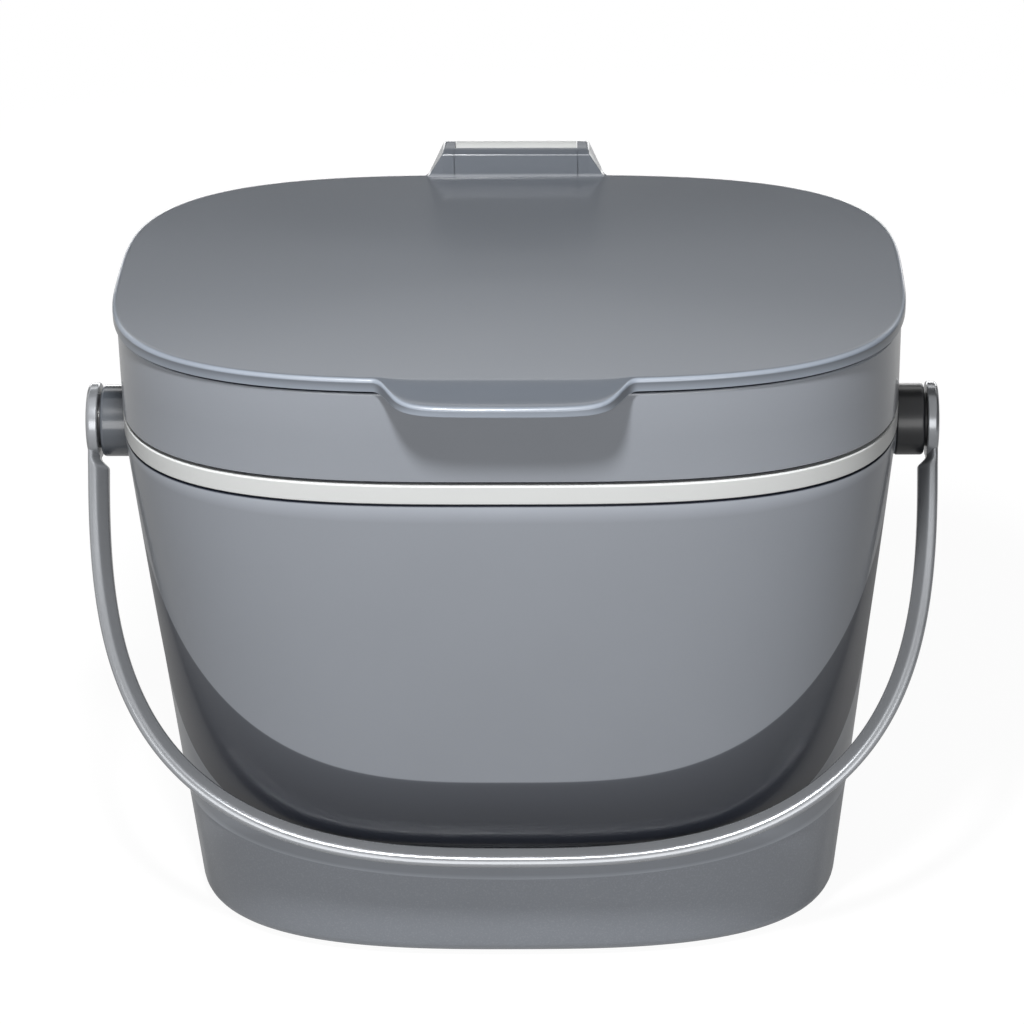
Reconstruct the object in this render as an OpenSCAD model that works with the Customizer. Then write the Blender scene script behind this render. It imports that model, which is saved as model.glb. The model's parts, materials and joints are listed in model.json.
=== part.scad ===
// Compost caddy: a tapered shell with an inner bucket, a lift-off collar, a hinged lid and a bail.
// +X is right, -Y is the front, +Z is up, and the feet stand on z = 0.

/* [Shell] */
// Width of the shell at its rim
rim_w = 262.6; // [240:0.1:300]
// Depth of the shell at its rim
rim_d = 166.6; // [150:0.1:190]
// Width of the shell at its foot
base_w = 229.2; // [200:0.1:236]
// Depth of the shell at its foot
base_d = 133.4; // [120:0.1:146]
// Height of the shell's rim above the floor
rim_z = 188.8; // [170:0.1:220]
// Wall thickness of the shell
wall = 2.4; // [1.8:0.1:3.2]
// Thickness of the shell's floor
floor_t = 3; // [2:0.1:4]
// Radius of the shell's bottom edge
base_round = 6; // [3:0.5:9]
// Squareness of the rim's outline, where 2 is an ellipse
rim_square = 3.18; // [2.6:0.01:3.6]
// Squareness of the foot's outline
base_square = 2.85; // [2.4:0.01:3.4]

/* [Front panel] */
// Height of the panel's lower crease at the middle
panel_low = 83; // [70:1:100]
// Height of the undercut's lower edge at the middle
undercut_low = 50; // [38:1:62]

/* [Inner bucket] */
// Space between shell and bucket
bucket_gap = 4.6; // [4.4:0.1:6]
// Wall thickness of the bucket
bucket_wall = 2.2; // [1.6:0.1:3]
// Space under the bucket
bucket_lift = 4; // [2:0.5:8]
// Radius of the bucket's bottom edge
bucket_round = 16; // [10:1:22]
// Height of the bucket's flange, the pale band
band_h = 6.8; // [5:0.1:9]

/* [Collar] */
// Height of the collar's outer wall
collar_h = 32.8; // [28:0.1:40]
// Wall thickness of the collar
collar_wall = 2.4; // [1.8:0.1:3]
// Depth to which the collar's inner wall reaches into the bucket
spigot_h = 7; // [4:0.5:12]

/* [Lid] */
// Overhang of the lid beyond the collar
lid_over = 1.2; // [0.5:0.1:2.5]
// Height of the lid's edge
lid_edge = 4.6; // [4:0.1:6]
// Thickness of the lid cover
lid_t = 2.2; // [1.8:0.1:2.6]
// Rise of the lid's crown at the middle
lid_crown = 2; // [0:0.1:4]
// Width of the finger lip
lip_w = 75; // [60:1:95]
// Reach of the finger lip in front of the lid
lip_out = 14.5; // [10:0.5:17]
// Fall of the finger lip at its front edge
lip_drop = 3; // [1:0.1:4]
// Thickness of the finger lip
lip_t = 3; // [2.4:0.1:3.6]
// Height of the liner's skirt below the lid's edge
liner_h = 8; // [7:0.5:12]

/* [Hinge] */
// Length of the hinge barrel
barrel_w = 43; // [36:0.5:50]
// Outer radius of the hinge barrel
barrel_r = 5; // [4.4:0.1:5.6]
// Radius of the hinge pin
pin_r = 2; // [1.5:0.1:2.4]
// Height of the hinge pin above the lid's top
pin_up = 5; // [4.6:0.1:6]
// Thickness of each lid ear at its top
ear_t = 3.8; // [3.4:0.1:5]
// Spread of the ears' flanks where they meet the lid
flank_out = 5.6; // [4:0.1:7]
// Thickness of the bracket's plate
bracket_t = 3; // [2.6:0.1:3.4]
// Height of the bracket's plate below the pin
bracket_h = 36; // [32:0.5:40]

/* [Hubs] */
// Radius of the hubs that carry the bail
hub_r = 12.4; // [11:0.1:13.5]
// Length of each hub from the shell's pad
hub_len = 10; // [8:0.1:13]
// Distance of the pivot behind the shell's middle
pivot_back = 4; // [0:0.5:8]
// Radius of the pivot screw's shoulder
shoulder_r = 4; // [3.4:0.1:4.6]
// Radius of the pivot screw's thread
screw_r = 2.5; // [2:0.1:3]

/* [Bail] */
// Distance of the resting bail's middle below the undercut
rest_down = 2; // [1:0.5:8]
// Thickness of the bail in its own plane
bail_t = 6.7; // [5.5:0.1:8]
// Depth of the bail's grip
bail_depth = 10; // [8:0.1:12]
// Depth of the bail's arms beside the hubs
arm_depth = 15; // [12:0.5:18]
// Thickness of the bail's round ends
eye_t = 3.9; // [3.6:0.1:4.6]
// Radius of the bail's round ends
eye_r = 13.1; // [12.2:0.1:14]

/* [Feet] */
// Radius of the rubber feet
foot_r = 7; // [5:0.5:9]
// Height of the shell above the floor
foot_h = 1; // [0.6:0.1:2]

/* [Hidden] */
$fn = 64;

// Columns of points around each shell.
sides = 72;
// Gap between two bodies that part from each other.
part_gap = 0.3;
// Gap left beside a seated face.
seat_gap = 0.1;
// Radial clearance of a shaft in its bore.
run_gap = 0.05;
// Overlap that lets two solids of one piece join.
sink = 0.4;
// Small chamfer and round on moulded edges.
soften = 0.5;
// Length that carries a cutter clear of everything.
far = rim_w;

// Squareness of the panel's crease along and down the panel, and of the undercut's lower edge.
crease_along = 3.2;
crease_down = 2.4;
edge_square = 5.5;
undercut_roll = 0.5;
// Share of the half width at which the crease and the edge run out into the rim.
side_limit = 0.997;

rim_half_w = rim_w / 2;
rim_half_d = rim_d / 2;
base_half_w = base_w / 2;
base_half_d = base_d / 2;

band_low = rim_z + part_gap;
band_top = band_low + band_h;
flange_t = 4.4;
flange_in = (wall + bucket_gap) * 0.4;
collar_low = band_top + part_gap;
collar_top = collar_low + collar_h;
lid_gap = 0.9;
lid_low = collar_top + lid_gap;
lid_top = lid_low + lid_edge;
lid_half_w = rim_half_w + lid_over;
lid_half_d = rim_half_d + lid_over;

// The nested walls, as distances inward from the rim's outline.
bucket_out = wall + bucket_gap;
bucket_in = bucket_out + bucket_wall;
spigot_out = bucket_in + part_gap + 0.1;
spigot_in = spigot_out + collar_wall;
spigot_low = band_top - spigot_h;
seal_t = 1.4;
seal_h = 3;
seal_out = spigot_in + part_gap;
skirt_out = seal_out + seal_t;
bucket_floor = foot_h + floor_t + bucket_lift;

// Small screws that hold the bracket and the liner.
small_r = 1.2;
small_hole_r = 1.6;
small_head_r = 2.7;
small_head_t = 1.4;
small_socket_r = 1;
boss_r = 3.6;
head_sunk = 1;

// Hinge: the bracket stands on two pads on the collar's back.
pad_gap = 1.6;
bracket_y = rim_half_d + pad_gap;
pin_y = bracket_y + barrel_r;
pin_z = lid_top + pin_up;
ear_x = barrel_w / 2 + part_gap;
pin_end = ear_x + ear_t - 0.8;
bracket_low = pin_z - bracket_h;
bracket_round = 5;
rib_t = 2.4;
apron_t = 2.6;
screw_in = 8.5;
screw_up = 8;
screw_x = barrel_w / 2 - screw_in;
screw_z = bracket_low + screw_up;
rib_up = 14;

// Pivot: pads on the shell's sides carry the hubs, and each screw holds one end of the bail.
pivot_z = rim_z - hub_r;
pad_x = rim_half_w + 0.3;
nut_seat_x = half_w(pivot_z) - wall - 0.6;
nut_t = 2;
nut_r = 4.6;
thread_spare = 0.6;
socket_r = 2;
hub_x = pad_x + hub_len;
washer_t = 0.8;
eye_x = hub_x + washer_t + seat_gap;
eye_out_x = eye_x + eye_t;
head_t = 1;
cap_t = 0.8;
head_x = eye_out_x - cap_t - seat_gap - head_t;
recess_x = head_x - seat_gap;
cap_r = shoulder_r + 3.4;

// Bail: the outer line is a superellipse, squarer along the grip than beside the arms.
bail_along = 2.73;
bail_down = 3.27;
// Half of the bail's section, from its outer face inward, as shares of thickness and half depth:
// a flat outer face, upright sides and a bevelled inner side for the fingers.
grip_half = [[0, 0.84], [0.1, 1], [0.5, 1], [0.92, 0.5], [1, 0.36]];
// The arm thickens inward below its hub, past a 45 degree shoulder.
shoulder_low = eye_r + 0.6;

// The bail rests against the shell's front, so its reach and its angle follow from where they meet.
rest_z = undercut_low - rest_down;
rest_y = half_d(rest_z) + part_gap + bail_depth * 0.43 + pivot_back;
bail_mid = norm([rest_y, pivot_z - rest_z]);
bail_drop = bail_mid + bail_t / 2;
rest_angle = atan2(rest_y, pivot_z - rest_z);

foot_sunk = 1.2;
foot_x = base_half_w * 0.6;
foot_y = base_half_d * 0.6;

// The whole object stands centred on its own bounding box.
back_y = pin_y + barrel_r;
front_y = -(lid_half_d + lip_out);
centre_y = -(back_y + front_y) / 2;

function lerp(a, b, t) = a + (b - a) * t;
function smooth(t) = let (u = min(max(t, 0), 1)) u * u * (3 - 2 * u);
function up_share(z) = min(max(z / rim_z, 0), 1);
function half_w(z) = lerp(base_half_w, rim_half_w, up_share(z));
function half_d(z) = lerp(base_half_d, rim_half_d, up_share(z));
function squareness(z) = lerp(base_square, rim_square, up_share(z));
function spread(v, n) = sign(v) * pow(abs(v), 2 / n);

// One ring of a rounded outline with the given half width, half depth, squareness and height.
function outline(hw, hd, n, z) =
    [for (i = [0 : sides - 1])
        let (a = 360 * i / sides)
        [hw * spread(cos(a), n), hd * spread(sin(a), n), z]];

// A ring inside the tapered body, at a distance inward from its surface.
function inset_ring(inset, z) =
    outline(half_w(z) - inset, half_d(z) - inset, squareness(z), z);

// A ring of the rim's own outline, for everything above the shell.
function rim_ring(inset, z) =
    outline(rim_half_w - inset, rim_half_d - inset, rim_square, z);

// A ring of the lid's outline, shrunk by a share.
function lid_ring(share, z) =
    outline(lid_half_w * share, lid_half_d * share, rim_square, z);

// Quarter-round rows from a flat underside up into a wall.
function round_rows(inset, radius, z, steps) =
    [for (i = [0 : steps])
        let (a = 90 * i / steps)
        inset_ring(inset + radius * (1 - sin(a)), z + radius * (1 - cos(a)))];

// Closed solid through rings of equal length, capped at the first and the last ring.
module skin(rings) {
    n = len(rings[0]);
    m = len(rings);
    points = [for (r = rings) each r];
    lower = [for (j = [0 : m - 2]) for (i = [0 : n - 1])
        [j * n + i, (j + 1) * n + i, (j + 1) * n + (i + 1) % n]];
    upper = [for (j = [0 : m - 2]) for (i = [0 : n - 1])
        [j * n + i, (j + 1) * n + (i + 1) % n, j * n + (i + 1) % n]];
    first = [for (i = [0 : n - 1]) i];
    last = [for (i = [n - 1 : -1 : 0]) (m - 1) * n + i];
    polyhedron(points, concat([first], lower, upper, [last]));
}

// Closed ring-shaped solid: the last ring joins the first.
module hoop(rings) {
    n = len(rings[0]);
    m = len(rings);
    points = [for (r = rings) each r];
    lower = [for (j = [0 : m - 1]) for (i = [0 : n - 1])
        let (k = (j + 1) % m)
        [j * n + i, k * n + i, k * n + (i + 1) % n]];
    upper = [for (j = [0 : m - 1]) for (i = [0 : n - 1])
        let (k = (j + 1) % m)
        [j * n + i, k * n + (i + 1) % n, j * n + (i + 1) % n]];
    polyhedron(points, concat(lower, upper));
}

module placed() {
    translate([0, centre_y, 0])
        children();
}

// Cylinder along X from one x to another.
module rod_x(r, x0, x1) {
    translate([x0, 0, 0])
        rotate([0, 90, 0])
            cylinder(r = r, h = x1 - x0);
}

module at_pivot() {
    translate([0, pivot_back, pivot_z])
        children();
}

// ---------- Shell ----------

function side_share(a, z) = min(pow(abs(cos(a)), 2 / squareness(z)), side_limit);
function crease_z(a) =
    rim_z - (rim_z - panel_low) * pow(1 - pow(side_share(a, panel_low), crease_along), 1 / crease_down);
function edge_z(a) =
    rim_z - (rim_z - undercut_low) * pow(1 - pow(side_share(a, undercut_low), edge_square), 1 / edge_square);

// Half depth of the body: the front panel stands upright while the rest tapers.
function panel_depth(a, bulge, z) =
    sin(a) < 0 ? lerp(half_d(z), rim_half_d, bulge) : half_d(z);

function shell_point(a, bulge, z) =
    [half_w(z) * spread(cos(a), squareness(z)),
     panel_depth(a, bulge, z) * spread(sin(a), squareness(z)),
     z];

// Rows that follow the body: below the undercut, across it, and over the panel.
function base_row(t) =
    [for (i = [0 : sides - 1])
        let (a = 360 * i / sides)
        shell_point(a, 0, lerp(foot_h + base_round, edge_z(a), t))];
// The undercut rolls under: it is steepest at its lower edge.
function undercut_row(t) =
    [for (i = [0 : sides - 1])
        let (a = 360 * i / sides)
        shell_point(a, t * (1 + undercut_roll * (1 - t)), lerp(edge_z(a), crease_z(a), t))];
function panel_row(t) =
    [for (i = [0 : sides - 1])
        let (a = 360 * i / sides)
        shell_point(a, 1, lerp(crease_z(a), rim_z, t))];

function shell_outside() = concat(
    round_rows(0, base_round, foot_h, 3),
    [base_row(0.5)],
    [for (t = [0, 0.3, 0.65]) undercut_row(t)],
    [for (t = [0, 0.5, 1]) panel_row(t)]);

function shell_inside() = [
    inset_ring(wall, rim_z),
    inset_ring(wall, foot_h + floor_t + base_round),
    inset_ring(wall + base_round * 0.3, foot_h + floor_t + base_round * 0.3),
    inset_ring(wall + base_round, foot_h + floor_t)];

module foot_places() {
    for (sx = [-1, 1])
        for (sy = [-1, 1])
            translate([sx * foot_x, sy * foot_y, 0])
                children();
}

module outer_shell() {
    color("slategray")
    placed()
    difference() {
        union() {
            skin(concat(shell_outside(), shell_inside()));
            at_pivot()
                for (s = [0, 1])
                    mirror([s, 0, 0])
                        rod_x(hub_r, nut_seat_x, pad_x);
        }
        at_pivot()
            rod_x(screw_r + run_gap, -rim_w, rim_w);
        foot_places()
            cylinder(r = foot_r + seat_gap, h = foot_h + foot_sunk);
    }
}

module rubber_feet() {
    color("dimgray")
    placed()
    foot_places()
        cylinder(r = foot_r, h = foot_h + foot_sunk - seat_gap);
}

// ---------- Inner bucket ----------

function bucket_outside() = concat(
    round_rows(bucket_out, bucket_round, bucket_floor, 3),
    [inset_ring(bucket_out, spigot_low - 2),
     inset_ring(bucket_out, band_top - flange_t),
     rim_ring(flange_in, band_top - flange_t),
     rim_ring(flange_in, band_low),
     rim_ring(soften, band_low),
     rim_ring(0, band_low + soften),
     rim_ring(0, band_top - soften),
     rim_ring(soften, band_top)]);

function bucket_inside() =
    let (r = bucket_round - bucket_wall, z = bucket_floor + bucket_wall)
    [rim_ring(bucket_in, band_top),
     rim_ring(bucket_in, spigot_low - 1),
     inset_ring(bucket_in, spigot_low - 4),
     inset_ring(bucket_in, z + r),
     inset_ring(bucket_in + r * 0.3, z + r * 0.3),
     inset_ring(bucket_in + r, z)];

module inner_bucket() {
    color("gainsboro")
    placed()
        skin(concat(bucket_outside(), bucket_inside()));
}

// ---------- Hubs and pivots ----------

module hub() {
    at_pivot()
    difference() {
        rotate([0, 90, 0])
            rotate_extrude()
                polygon([[0, pad_x + seat_gap], [hub_r - 0.6, pad_x + seat_gap],
                    [hub_r, pad_x + 0.8], [hub_r, hub_x - 1.2], [hub_r - 1.2, hub_x], [0, hub_x]]);
        rod_x(screw_r + run_gap, 0, rim_w);
    }
}

module left_hub() {
    color("darkslategray")
    placed()
        mirror([1, 0, 0])
            hub();
}

module right_hub() {
    color("darkslategray")
    placed()
        hub();
}

module pivot_screw() {
    at_pivot() {
        rod_x(screw_r, nut_seat_x - nut_t - thread_spare, hub_x + sink);
        rod_x(shoulder_r, hub_x + seat_gap, head_x + sink);
        difference() {
            rod_x(cap_r - 0.6, head_x, head_x + head_t);
            translate([head_x + head_t * 0.6, 0, 0])
                rotate([0, 90, 0])
                    cylinder(r = socket_r, h = head_t, $fn = 6);
        }
    }
}

module pivot_screws() {
    color("silver")
    placed()
        for (s = [0, 1])
            mirror([s, 0, 0])
                pivot_screw();
}

module pivot_nuts() {
    color("silver")
    placed()
        for (s = [0, 1])
            mirror([s, 0, 0])
                at_pivot()
                    translate([nut_seat_x - seat_gap - nut_t, 0, 0])
                        rotate([0, 90, 0])
                            difference() {
                                cylinder(r = nut_r, h = nut_t, $fn = 6);
                                translate([0, 0, -nut_t])
                                    cylinder(r = screw_r + run_gap, h = 3 * nut_t);
                            }
}

module pivot_washers() {
    color("white")
    placed()
        for (s = [0, 1])
            mirror([s, 0, 0])
                at_pivot()
                    difference() {
                        rod_x(hub_r - 3, hub_x + seat_gap, hub_x + washer_t);
                        rod_x(shoulder_r + run_gap, hub_x - washer_t, hub_x + 2 * washer_t);
                    }
}

// ---------- Collar ----------

module collar_ring() {
    hoop([
        rim_ring(soften, collar_low),
        rim_ring(0, collar_low + soften),
        rim_ring(0, collar_top - 2 * soften),
        rim_ring(2 * soften, collar_top),
        rim_ring(spigot_in, collar_top),
        rim_ring(spigot_in, spigot_low),
        rim_ring(spigot_out, spigot_low),
        rim_ring(spigot_out, collar_top - collar_wall),
        rim_ring(collar_wall, collar_top - collar_wall),
        rim_ring(collar_wall, collar_low)]);
}

// Depth of the screw bosses behind the collar's outer face.
boss_deep = spigot_out - 0.6;

module bracket_screw_places() {
    for (s = [-1, 1])
        translate([s * screw_x, 0, screw_z])
            rotate([-90, 0, 0])
                children();
}

module collar() {
    color("slategray")
    placed()
    difference() {
        union() {
            collar_ring();
            bracket_screw_places()
                translate([0, 0, rim_half_d - boss_deep])
                    cylinder(r = boss_r, h = boss_deep + pad_gap - seat_gap);
        }
        bracket_screw_places()
            translate([0, 0, rim_half_d - boss_deep + 0.6])
                cylinder(r = small_r + run_gap, h = far);
    }
}

module collar_seal() {
    color("dimgray")
    placed()
        hoop([
            rim_ring(collar_wall + 1, band_top),
            rim_ring(collar_wall + 1, band_top + seal_h),
            rim_ring(spigot_out - seat_gap, band_top + seal_h),
            rim_ring(spigot_out - seat_gap, band_top)]);
}

// ---------- Hinge ----------

// Side view of a rib that braces the barrel against the plate.
module rib_side() {
    polygon([[bracket_y + 1, bracket_low + rib_up],
        [bracket_y + bracket_t, bracket_low + rib_up],
        [pin_y + barrel_r - 1, pin_z - 2],
        [bracket_y + 1, pin_z - 2]]);
}

module bracket_plate() {
    r = bracket_round;
    translate([0, bracket_y + bracket_t, 0])
        rotate([90, 0, 0])
            linear_extrude(bracket_t) {
                translate([-barrel_w / 2, bracket_low + r])
                    square([barrel_w, bracket_h - r]);
                translate([r - barrel_w / 2, bracket_low])
                    square([barrel_w - 2 * r, r + sink]);
                for (s = [-1, 1])
                    translate([s * (barrel_w / 2 - r), bracket_low + r])
                        circle(r = r);
            }
}

module hinge_bracket() {
    color("gainsboro")
    placed()
    difference() {
        union() {
            translate([0, pin_y, pin_z])
                rod_x(barrel_r, -barrel_w / 2, barrel_w / 2);
            bracket_plate();
            for (x = [-barrel_w / 2 + rib_t, barrel_w / 2 - 2 * rib_t])
                translate([x, 0, 0])
                    rotate([90, 0, 90])
                        linear_extrude(rib_t)
                            rib_side();
        }
        translate([0, pin_y, pin_z])
            rod_x(pin_r + run_gap, -barrel_w, barrel_w);
        bracket_screw_places()
            cylinder(r = small_hole_r, h = far);
        bracket_screw_places()
            translate([0, 0, bracket_y + bracket_t - head_sunk])
                cylinder(r = small_head_r + seat_gap, h = far);
    }
}

module hinge_pin() {
    color("silver")
    placed()
        translate([0, pin_y, pin_z])
            rod_x(pin_r, -pin_end, pin_end);
}

// A small screw whose head's underside is at zero and whose shank points down.
module small_screw(length) {
    translate([0, 0, -length])
        cylinder(r = small_r, h = length + sink);
    difference() {
        cylinder(r = small_head_r, h = small_head_t);
        translate([0, 0, small_head_t * 0.5])
            cylinder(r = small_socket_r, h = small_head_t, $fn = 6);
    }
}

module bracket_screws() {
    color("silver")
    placed()
    bracket_screw_places()
        translate([0, 0, bracket_y + bracket_t - head_sunk + seat_gap])
            small_screw(boss_deep + pad_gap + bracket_t - head_sunk - 1);
}

// ---------- Lid ----------

// Plan of the finger lip: on each side a quick S runs into a long soft shoulder.
shoulder_out = 9.6;
shoulder_bend = 6;
shoulder_power = 2.9;
shoulder_steps = 14;
lip_start = lip_w / 2 + shoulder_out;
lip_xs = [for (i = [0 : shoulder_steps]) lip_start * (1 - pow(i / shoulder_steps, 1.5))];
lip_root = lid_half_d - 2.5;

function lid_edge_y(x) =
    lid_half_d * pow(1 - pow(abs(x) / lid_half_w, rim_square), 1 / rim_square);
function lip_share(x) =
    1 / (1 + pow(shoulder_bend / max(lip_start - abs(x), 0.01), shoulder_power));
function lip_edge_y(x) = lid_edge_y(x) + lip_out * lip_share(x);

module lip_plan() {
    polygon(concat(
        [for (x = lip_xs) [-x, -lip_edge_y(x)]],
        [for (i = [shoulder_steps - 1 : -1 : 0]) [lip_xs[i], -lip_edge_y(lip_xs[i])]],
        [[lip_xs[0], -lip_root], [-lip_xs[0], -lip_root]]));
}

// Section of the lip: past a straight fold it slopes down to its front edge.
fold_in = 1.8;

module lip_section() {
    front = lid_half_d + lip_out;
    low = lid_top - lip_drop;
    translate([-lip_w, 0, 0])
        rotate([90, 0, 90])
            linear_extrude(2 * lip_w)
                polygon([
                    [-lip_root, lid_top - 0.1],
                    [fold_in - lid_half_d, lid_top - 0.1],
                    [1.2 - front, low + 0.1],
                    [soften - front, low - 0.2],
                    [-front, low - 0.8],
                    [-front, low - lip_t + soften],
                    [soften - front, low - lip_t],
                    [-lid_half_d, lid_low + soften],
                    [-lip_root, lid_low + soften]]);
}

module finger_lip() {
    intersection() {
        translate([0, 0, lid_low - lip_drop - lip_t])
            linear_extrude(lid_edge + lip_drop + 2 * lip_t)
                lip_plan();
        lip_section();
    }
}

// Side view of the hinge housing: an upright front wall, the ears' round back and the lid's edge.
module housing_side() {
    wall_y = pin_y - barrel_r - part_gap - apron_t;
    top_z = pin_z + barrel_r;
    back = lid_half_d - 3;
    translate([pin_y, pin_z])
        circle(r = barrel_r);
    polygon([[wall_y - apron_t, lid_top - 1.2], [wall_y - 1, lid_top + 1.2],
        [wall_y - 0.2, pin_z + 1], [wall_y + 0.6, pin_z + 2.4],
        [pin_y - 2, top_z - 0.5], [pin_y, top_z - 0.02],
        [pin_y, pin_z - barrel_r + 0.1], [pin_y - 3.4, lid_low + 0.8],
        [back, lid_low + 0.8], [back, lid_top - 1.2]]);
}

// Right half of the housing's front view: a rounded top corner over a flank that leans outwards.
function housing_right() =
    let (crown = ear_x + ear_t, foot = crown + flank_out, top_z = pin_z + barrel_r)
    [[crown - 1.6, top_z], [crown - 0.7, top_z - 0.2], [crown - 0.1, top_z - 0.8],
     [crown + 0.3, top_z - 1.6], [foot - 0.6, lid_top + 0.9], [foot + 0.2, lid_top + 0.2],
     [foot + 1, lid_top - 0.1], [foot + 1, lid_low + 1]];

module housing_front() {
    right = housing_right();
    last = len(right) - 1;
    polygon(concat(right, [for (i = [last : -1 : 0]) [-right[i].x, right[i].y]]));
}

module hinge_housing() {
    difference() {
        intersection() {
            translate([-far / 2, 0, 0])
                rotate([90, 0, 90])
                    linear_extrude(far)
                        housing_side();
            translate([0, far, 0])
                rotate([90, 0, 0])
                    linear_extrude(far)
                        housing_front();
        }
        // Room for the barrel and, below and behind it, for the bracket.
        translate([0, pin_y, pin_z])
            rod_x(barrel_r + part_gap, -ear_x, ear_x);
        translate([-ear_x, bracket_y - part_gap, lid_low - 1])
            cube([2 * ear_x, far, pin_z - lid_low + 1]);
        translate([-ear_x, pin_y - barrel_r - part_gap, pin_z + 2.2])
            cube([2 * ear_x, far, 2 * barrel_r]);
    }
}

module lid_plate() {
    skin([
        lid_ring(1 - 0.3 / lid_half_d, lid_low),
        lid_ring(1, lid_low + 0.4),
        lid_ring(1, lid_top - 1.4),
        lid_ring(1 - 0.6 / lid_half_d, lid_top - 0.5),
        lid_ring(1 - 1.8 / lid_half_d, lid_top),
        lid_ring(0.7, lid_top + lid_crown * 0.51),
        lid_ring(0.4, lid_top + lid_crown * 0.84)]);
}

module lid_hollow() {
    under = lid_top - lid_t;
    skin([
        rim_ring(1.6, lid_low - 1),
        rim_ring(1.6, under),
        lid_ring(0.7, under + lid_crown * 0.51),
        lid_ring(0.4, under + lid_crown * 0.84)]);
}

liner_screw_x = lid_half_w * 0.62;
liner_screw_y = lid_half_d * 0.58;
liner_base = lid_low - liner_h;
liner_t = 2.2;
seal_low = liner_base + 3.6;
liner_dish = 9;

module liner_screw_places() {
    for (sx = [-1, 1])
        for (sy = [-1, 1])
            translate([sx * liner_screw_x, sy * liner_screw_y, 0])
                children();
}

module lid_cover() {
    color("slategray")
    placed()
    difference() {
        union() {
            difference() {
                lid_plate();
                lid_hollow();
            }
            finger_lip();
            hinge_housing();
            liner_screw_places()
                translate([0, 0, liner_base + liner_t + seat_gap])
                    cylinder(r = boss_r, h = lid_top - liner_base - liner_t - 1);
        }
        translate([0, pin_y, pin_z])
            rod_x(pin_r + run_gap, -pin_end - part_gap, pin_end + part_gap);
        liner_screw_places()
            cylinder(r = small_r + run_gap, h = lid_top - 1.6);
    }
}

module lid_liner() {
    color("gainsboro")
    placed()
    difference() {
        skin([
            rim_ring(skirt_out + liner_dish, liner_base),
            rim_ring(skirt_out + 4, liner_base + 0.4),
            rim_ring(skirt_out + 1, liner_base + 1.6),
            rim_ring(skirt_out, liner_base + 3.4),
            rim_ring(skirt_out, lid_low),
            rim_ring(2, lid_low),
            rim_ring(2, lid_low + lid_edge - lid_t - seat_gap),
            rim_ring(skirt_out + 2, lid_low + lid_edge - lid_t - seat_gap),
            rim_ring(skirt_out + 2, liner_base + 4),
            rim_ring(skirt_out + 4, liner_base + liner_t + 0.4),
            rim_ring(skirt_out + liner_dish, liner_base + liner_t)]);
        liner_screw_places() {
            translate([0, 0, liner_base - liner_t])
                cylinder(r = small_hole_r, h = 3 * liner_t);
            translate([0, 0, liner_base - liner_t])
                cylinder(r = small_head_r + seat_gap, h = liner_t + head_sunk);
        }
    }
}

module liner_screws() {
    color("silver")
    placed()
    liner_screw_places()
        translate([0, 0, liner_base + head_sunk - seat_gap])
            mirror([0, 0, 1])
                small_screw(liner_h);
}

module lid_seal() {
    color("dimgray")
    placed()
        hoop([
            rim_ring(seal_out + soften, seal_low),
            rim_ring(seal_out, seal_low + seal_h / 2),
            rim_ring(seal_out + soften, seal_low + seal_h),
            rim_ring(skirt_out - seat_gap, seal_low + seal_h),
            rim_ring(skirt_out - seat_gap, seal_low)]);
}

// ---------- Bail ----------

// Outer line of the bail in its own plane: x across and v down from the pivot.
function bail_line(t) =
    [eye_out_x * spread(cos(t), bail_along), bail_drop * spread(sin(t), bail_down)];

// Places along the path: close together past the shoulder, then evenly round to the middle.
function path_angle(v) = asin(pow(v / bail_drop, bail_down / 2));
bail_even = 1.6;
bail_steps = 24;
shoulder_high = shoulder_low + bail_t - eye_t;
even_start = pow(path_angle(shoulder_high) / 90, 1 / bail_even);
half_path = concat(
    [path_angle(3), path_angle(shoulder_low - 3), path_angle(shoulder_low)],
    [for (i = [0 : bail_steps]) 90 * pow(lerp(even_start, 1, i / bail_steps), bail_even)]);
half_last = len(half_path) - 1;
bail_path = concat(half_path, [for (i = [half_last - 1 : -1 : 0]) 180 - half_path[i]]);

// Unit vector along the line, from a short step either way.
function bail_along_unit(t) =
    let (d = bail_line(t + 0.2) - bail_line(t - 0.2))
    d / norm(d);

function bail_thick(v) =
    lerp(eye_t, bail_t, min(max((v - shoulder_low) / (bail_t - eye_t), 0), 1));
function bail_deep(v) = lerp(arm_depth, bail_depth, smooth(v / (bail_drop * 0.45)));

// The whole section, from one outer corner round to the other.
grip_last = len(grip_half) - 1;
grip = concat(
    [for (g = grip_half) [g.x, -g.y]],
    [for (k = [grip_last : -1 : 0]) grip_half[k]]);

// One section across the path.
function bail_ring(t) =
    let (p = bail_line(t),
        u = bail_along_unit(t),
        thick = bail_thick(p.y),
        deep = bail_deep(p.y) / 2)
    [for (g = grip)
        [p.x - u.y * thick * g.x, deep * g.y, -(p.y + u.x * thick * g.x)]];

module bail_bar() {
    skin([for (t = bail_path) bail_ring(t)]);
}

module bail_eye() {
    rotate([0, 90, 0])
        rotate_extrude()
            polygon([[0, eye_x], [eye_r, eye_x], [eye_r, eye_out_x - 1.4],
                [eye_r - 0.5, eye_out_x - 0.5], [eye_r - 1.4, eye_out_x], [0, eye_out_x]]);
}

module bail() {
    color("darkgray")
    placed()
    at_pivot()
    rotate([-rest_angle, 0, 0])
    difference() {
        union() {
            bail_bar();
            for (s = [0, 1])
                mirror([s, 0, 0])
                    bail_eye();
        }
        rod_x(shoulder_r + run_gap, -rim_w, rim_w);
        for (s = [0, 1])
            mirror([s, 0, 0])
                rod_x(cap_r + seat_gap, recess_x, far);
    }
}

dish_r = cap_r * 1.6;

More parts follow.
